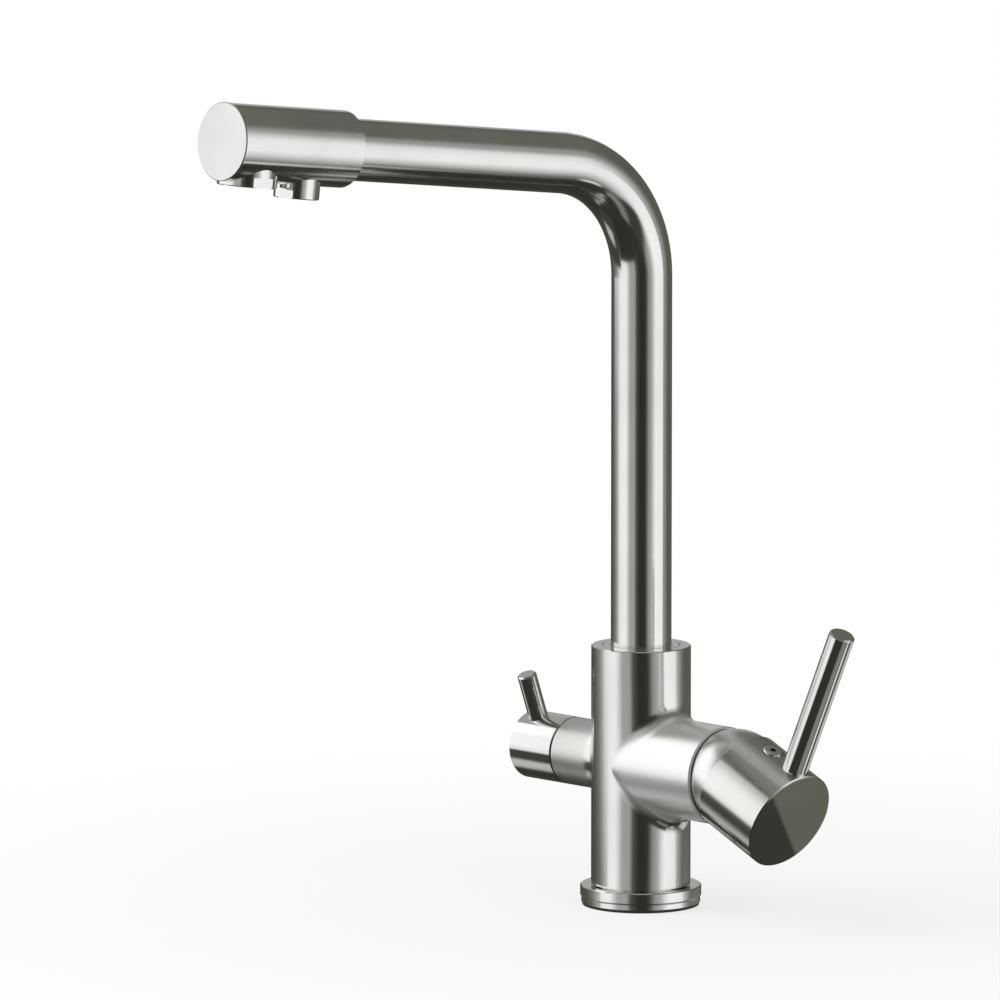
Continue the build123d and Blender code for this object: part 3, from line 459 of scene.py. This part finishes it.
def rod_with_thread(centre, bottom, top, radius):
    """A round rod whose side is one helical thread, closed by flat ends."""
    shape = bmesh.new()
    steps = 24
    levels = 4
    rows = round((top - bottom) / THREAD_PITCH * levels)
    rings = []
    for row in range(rows + 1):
        height = bottom + (top - bottom) * row / rows
        near = min(height - bottom, top - height)
        ring = []
        for step in range(steps):
            turn = step / steps
            phase = (height / THREAD_PITCH - turn) % 1.0
            reach = min(radius - THREAD_DEPTH * abs(2 * phase - 1), radius - THREAD_CHAMFER + near)
            x = centre[0] + reach * math.cos(turn * math.tau)
            y = centre[1] + reach * math.sin(turn * math.tau)
            ring.append(shape.verts.new((x, y, height)))
        rings.append(ring)
    for low, high in zip(rings, rings[1:]):
        bridge(shape, low, high)
    shape.faces.new(list(reversed(rings[0])))
    shape.faces.new(rings[-1])
    return shape


def thin_ring(centre, across, upward, inner, outer, thickness):
    """A closed flat ring around a centre; its thickness runs along across x upward."""
    shape = bmesh.new()
    steps = 96
    along = across.cross(upward)
    corners = ((inner, 0), (outer, 0), (outer, thickness), (inner, thickness))
    loops = []
    for step in range(steps):
        angle = math.tau * step / steps
        out = across * math.cos(angle) + upward * math.sin(angle)
        loops.append([shape.verts.new(centre + out * reach + along * rise) for reach, rise in corners])
    for before, after in zip(loops, loops[1:] + loops[:1]):
        bridge(shape, before, after)
    bmesh.ops.recalc_face_normals(shape, faces=shape.faces)
    return shape


add_camera()
add_world()
add_tent()
add_floor()
for lamp_row in LAMPS:
    add_lamp(*lamp_row)

# Finishes by the record's material slots, and those of single nodes
FINISHES = {
    "nickel": metal("brushed_nickel", NICKEL_COLOUR, 0.125, wear=0.02),
    "satin_nickel": metal("satin_nickel", (0.76, 0.76, 0.74), 0.22, grain=BLASTED),
    "polished": metal("polished_nickel", (0.82, 0.82, 0.79), 0.07, grain_depth=0.005, wear=0.015),
    "brass": metal("machined_brass", (0.78, 0.62, 0.33), 0.24),
    "zinc_steel": metal("zinc_steel", (0.62, 0.64, 0.66), 0.28),
    "rubber_black": solid("black_rubber", (0.028, 0.028, 0.03), 0.6),
    "ceramic": solid("ground_ceramic", (0.86, 0.85, 0.81), 0.35),
    "cartridge_plastic": solid("moulded_acetal", (0.80, 0.80, 0.77), 0.42),
    "hose_plastic": solid("tube_plastic", (0.84, 0.86, 0.88), 0.38),
    "insert_plastic": solid("insert_plastic", (0.46, 0.48, 0.51), 0.45),
}
NODE_FINISHES = {
    # The casting's nickel, with painted sheen on its branch along +X
    "body_casting": metal("cast_nickel_painted_sheen", NICKEL_COLOUR, 0.14, wear=0.02, zones=BRANCH_ZONES),
    "handle_barrel": metal(
        "handle_nickel", NICKEL_COLOUR, 0.16, wear=0.02, grain_depth=0.0, zones=END_FACE_ZONES
    ),
    "escutcheon_dome": metal("dome_nickel", (0.94, 0.94, 0.91), 0.30, grain=BLASTED),
    "index_button": metal("button_chrome", (0.94, 0.94, 0.92), 0.06, grain_depth=0.005),
    "mixer_lever": FINISHES["polished"],
    "filter_lever": FINISHES["polished"],
}
# Near-black finish of the thin rings that paint shade into the bush groove and the dome step
PAINTED_SHADE = solid("painted_gap_shade", (0.02, 0.02, 0.018), 0.7)

for entry in frame["record"]["subparts"]:
    mesh = nodes[entry["node"]].data
    mesh.materials.clear()
    mesh.materials.append(NODE_FINISHES.get(entry["node"], FINISHES[entry["material_slot"]]))

# Threaded stud in place of its plain cylinder
stud_low, stud_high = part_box("fixing_stud")
stud_centre = ((stud_low[0] + stud_high[0]) / 2, (stud_low[1] + stud_high[1]) / 2)
stud_radius = (stud_high[0] - stud_low[0]) / 2
thread = rod_with_thread(stud_centre, stud_low[2], stud_high[2], stud_radius)
stud = add_piece("threaded_stud", thread, FINISHES["zinc_steel"], "body")
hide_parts("fixing_stud")

# Painted shade: a thin dark ring at the bottom of the groove around the swivel bush, where shade falls
bush_low, bush_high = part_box("swivel_bush")
bush_radius = (bush_high[0] - bush_low[0]) / 2
groove = Vector((0, 0, bush_high[2] - BUSH_LINE_SINK))
groove_shade_ring = thin_ring(
    groove, X, Y, bush_radius - BUSH_LINE_IN, bush_radius + BUSH_LINE_OUT, LINE_THICKNESS
)
add_piece("bush_groove_painted_shade", groove_shade_ring, PAINTED_SHADE, "body")

# Painted shade: a thin dark ring in the step behind the dome, where the dome's sphere begins and shade
# falls
dome_low, dome_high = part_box("escutcheon_dome")
dome_radius = (dome_high[1] - dome_low[1]) / 2
dome_start = math.sqrt(dome_radius ** 2 - (PIVOT.x - dome_low[0]) ** 2)
dome_step = Vector((dome_low[0], 0, BRANCH_HEIGHT))
step_shade_ring = thin_ring(
    dome_step, Y, Z, dome_start - DOME_LINE_IN, dome_start + DOME_LINE_OUT, LINE_THICKNESS
)
add_piece("dome_step_painted_shade", step_shade_ring, PAINTED_SHADE, "body")

# Ring that fills the head's mouth, where the solids leave a gap between the head's bore and the tube
outward = X * math.cos(SPOUT_HEADING) + Y * math.sin(SPOUT_HEADING)
arm_along = outward * math.cos(ARM_RISE) + Z * math.sin(ARM_RISE)
arm_upward = Z * math.cos(ARM_RISE) - outward * math.sin(ARM_RISE)
mouth = ARM_CROSSING + arm_along * (HEAD_START + MOUTH_SINK)
mouth_ring = thin_ring(
    mouth, arm_upward.cross(arm_along), arm_upward,
    TUBE_RADIUS - MOUTH_OVERLAP, HEAD_BORE + MOUTH_OVERLAP, MOUTH_DEPTH,
)
add_piece("head_mouth_ring", mouth_ring, FINISHES["nickel"], "spout")

view = bpy.context.scene.view_settings
view.view_transform = "Standard"
